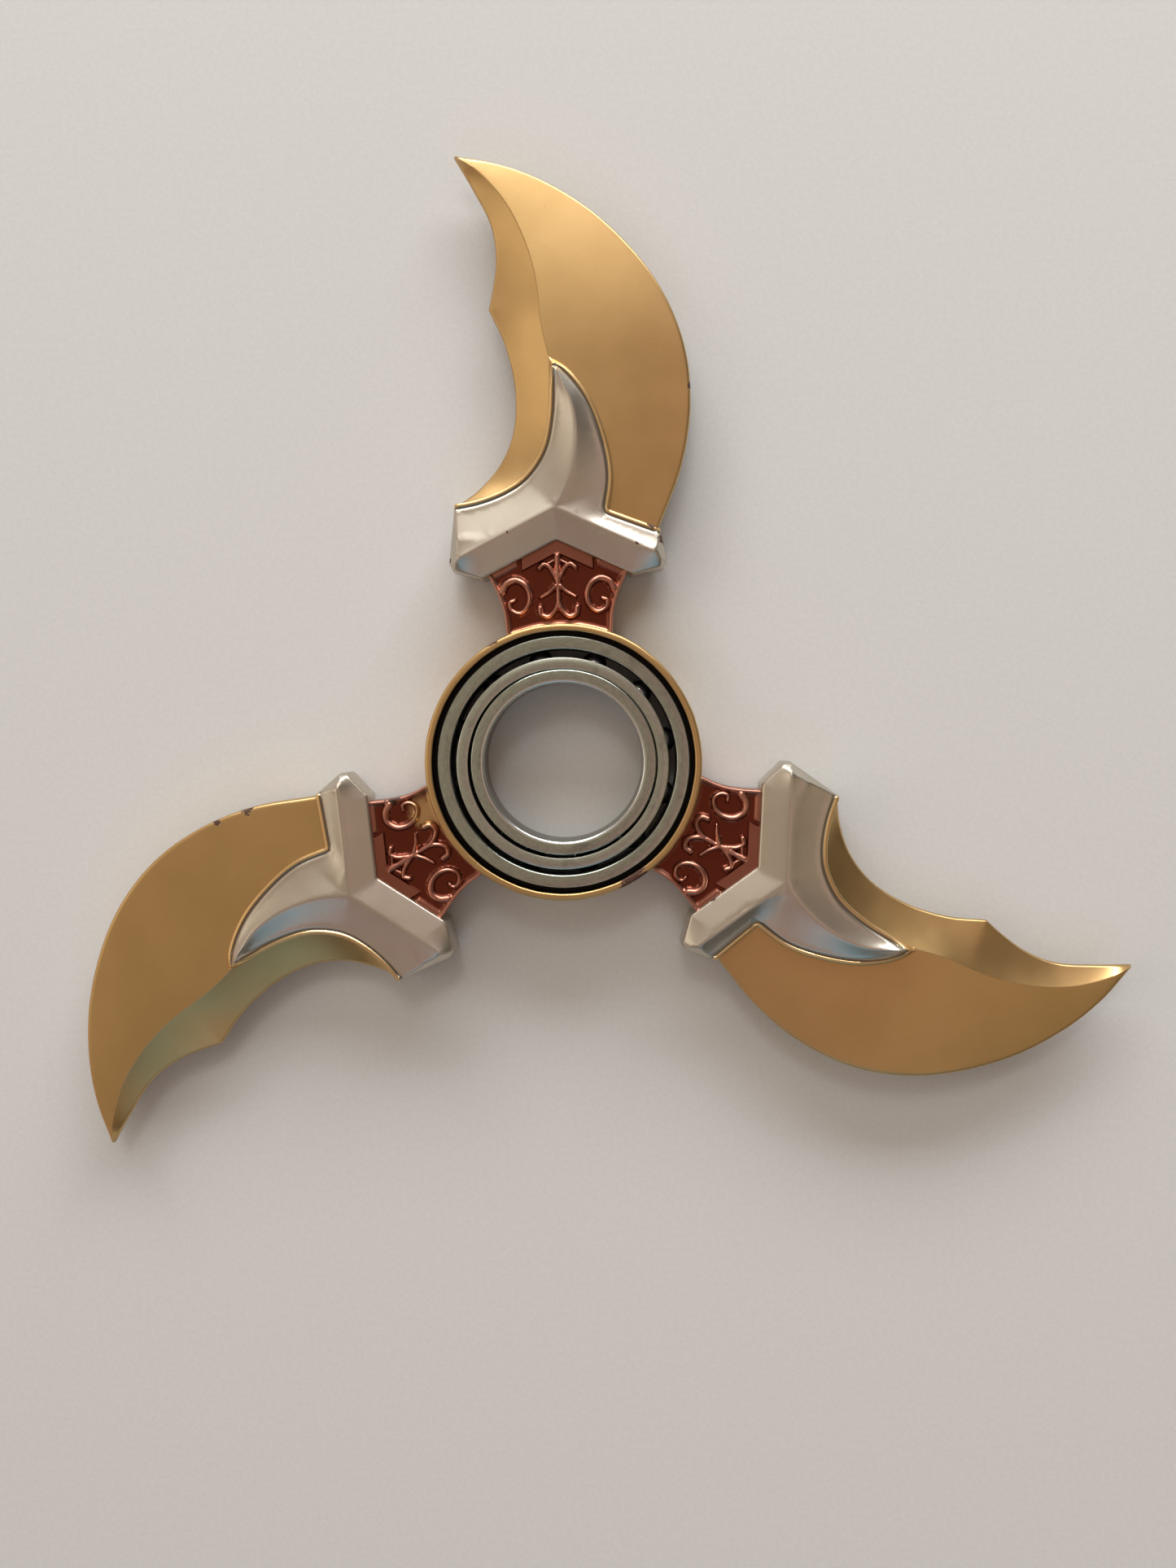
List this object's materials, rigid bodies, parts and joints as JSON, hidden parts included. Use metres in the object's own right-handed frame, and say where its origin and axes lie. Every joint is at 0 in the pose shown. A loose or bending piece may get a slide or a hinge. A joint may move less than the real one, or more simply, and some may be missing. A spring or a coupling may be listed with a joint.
{
  "type": "fidget spinner",
  "caption": "Hand spinner whose curved claw blades, each in a leaf-shaped guard on a short scrollwork neck, turn on an open ball bearing.",
  "frame": {"origin": "centre of the ball bearing, on the spin axis at half thickness", "axes": "+Z along the spin axis towards the viewer, +Y along arm 1; arms 2 and 3 follow clockwise seen from +Z"},
  "size_m": [0.1011, 0.0933, 0.0064],
  "materials": {
    "gold_paint": "satin metallic",
    "silver_paint": "satin metallic",
    "copper_paint": "metallic",
    "bearing_steel": "ground",
    "cage_steel": "pressed sheet",
    "ball_steel": "polished"
  },
  "bodies": {
    "inner_race": {"bearing_inner_race": "bearing_steel"},
    "rotor": {"hub_ring": "gold_paint", "bearing_outer_race": "bearing_steel", "neck_1": "copper_paint", "guard_1": "silver_paint", "blade_1": "gold_paint", "neck_2": "copper_paint", "guard_2": "silver_paint", "blade_2": "gold_paint", "neck_3": "copper_paint", "guard_3": "silver_paint", "blade_3": "gold_paint"},
    "cage": {"ball_cage": "cage_steel"},
    "ball_01": {"ball_01": "ball_steel"},
    "ball_02": {"ball_02": "ball_steel"},
    "ball_03": {"ball_03": "ball_steel"},
    "ball_04": {"ball_04": "ball_steel"},
    "ball_05": {"ball_05": "ball_steel"},
    "ball_06": {"ball_06": "ball_steel"},
    "ball_07": {"ball_07": "ball_steel"},
    "ball_08": {"ball_08": "ball_steel"},
    "ball_09": {"ball_09": "ball_steel"},
    "ball_10": {"ball_10": "ball_steel"},
    "ball_11": {"ball_11": "ball_steel"},
    "ball_12": {"ball_12": "ball_steel"}
  },
  "joints": [
    {"name": "rotor_spin", "type": "hinge", "parent": "inner_race", "child": "rotor", "pos_m": [0, 0, 0], "axis": [0, 0, 1], "continuous": true},
    {"name": "cage_spin", "type": "hinge", "parent": "inner_race", "child": "cage", "pos_m": [0, 0, 0], "axis": [0, 0, 1], "continuous": true},
    {"name": "ball_01_spin", "type": "hinge", "parent": "cage", "child": "ball_01", "pos_m": [0.00957, 0.00186, 0], "axis": [0, 0, 1], "continuous": true},
    {"name": "ball_02_spin", "type": "hinge", "parent": "cage", "child": "ball_02", "pos_m": [0.00736, 0.0064, 0], "axis": [0, 0, 1], "continuous": true},
    {"name": "ball_03_spin", "type": "hinge", "parent": "cage", "child": "ball_03", "pos_m": [0.00317, 0.00922, 0], "axis": [0, 0, 1], "continuous": true},
    {"name": "ball_04_spin", "type": "hinge", "parent": "cage", "child": "ball_04", "pos_m": [-0.00186, 0.00957, 0], "axis": [0, 0, 1], "continuous": true},
    {"name": "ball_05_spin", "type": "hinge", "parent": "cage", "child": "ball_05", "pos_m": [-0.0064, 0.00736, 0], "axis": [0, 0, 1], "continuous": true},
    {"name": "ball_06_spin", "type": "hinge", "parent": "cage", "child": "ball_06", "pos_m": [-0.00922, 0.00317, 0], "axis": [0, 0, 1], "continuous": true},
    {"name": "ball_07_spin", "type": "hinge", "parent": "cage", "child": "ball_07", "pos_m": [-0.00957, -0.00186, 0], "axis": [0, 0, 1], "continuous": true},
    {"name": "ball_08_spin", "type": "hinge", "parent": "cage", "child": "ball_08", "pos_m": [-0.00736, -0.0064, 0], "axis": [0, 0, 1], "continuous": true},
    {"name": "ball_09_spin", "type": "hinge", "parent": "cage", "child": "ball_09", "pos_m": [-0.00317, -0.00922, 0], "axis": [0, 0, 1], "continuous": true},
    {"name": "ball_10_spin", "type": "hinge", "parent": "cage", "child": "ball_10", "pos_m": [0.00186, -0.00957, 0], "axis": [0, 0, 1], "continuous": true},
    {"name": "ball_11_spin", "type": "hinge", "parent": "cage", "child": "ball_11", "pos_m": [0.0064, -0.00736, 0], "axis": [0, 0, 1], "continuous": true},
    {"name": "ball_12_spin", "type": "hinge", "parent": "cage", "child": "ball_12", "pos_m": [0.00922, -0.00317, 0], "axis": [0, 0, 1], "continuous": true}
  ],
  "couplings": [
    {"joint": "cage_spin", "follows": "rotor_spin", "ratio": 0.56103},
    {"joint": "ball_01_spin", "follows": "rotor_spin", "ratio": 4.0356},
    {"joint": "ball_02_spin", "follows": "rotor_spin", "ratio": 4.0356},
    {"joint": "ball_03_spin", "follows": "rotor_spin", "ratio": 4.0356},
    {"joint": "ball_04_spin", "follows": "rotor_spin", "ratio": 4.0356},
    {"joint": "ball_05_spin", "follows": "rotor_spin", "ratio": 4.0356},
    {"joint": "ball_06_spin", "follows": "rotor_spin", "ratio": 4.0356},
    {"joint": "ball_07_spin", "follows": "rotor_spin", "ratio": 4.0356},
    {"joint": "ball_08_spin", "follows": "rotor_spin", "ratio": 4.0356},
    {"joint": "ball_09_spin", "follows": "rotor_spin", "ratio": 4.0356},
    {"joint": "ball_10_spin", "follows": "rotor_spin", "ratio": 4.0356},
    {"joint": "ball_11_spin", "follows": "rotor_spin", "ratio": 4.0356},
    {"joint": "ball_12_spin", "follows": "rotor_spin", "ratio": 4.0356}
  ]
}
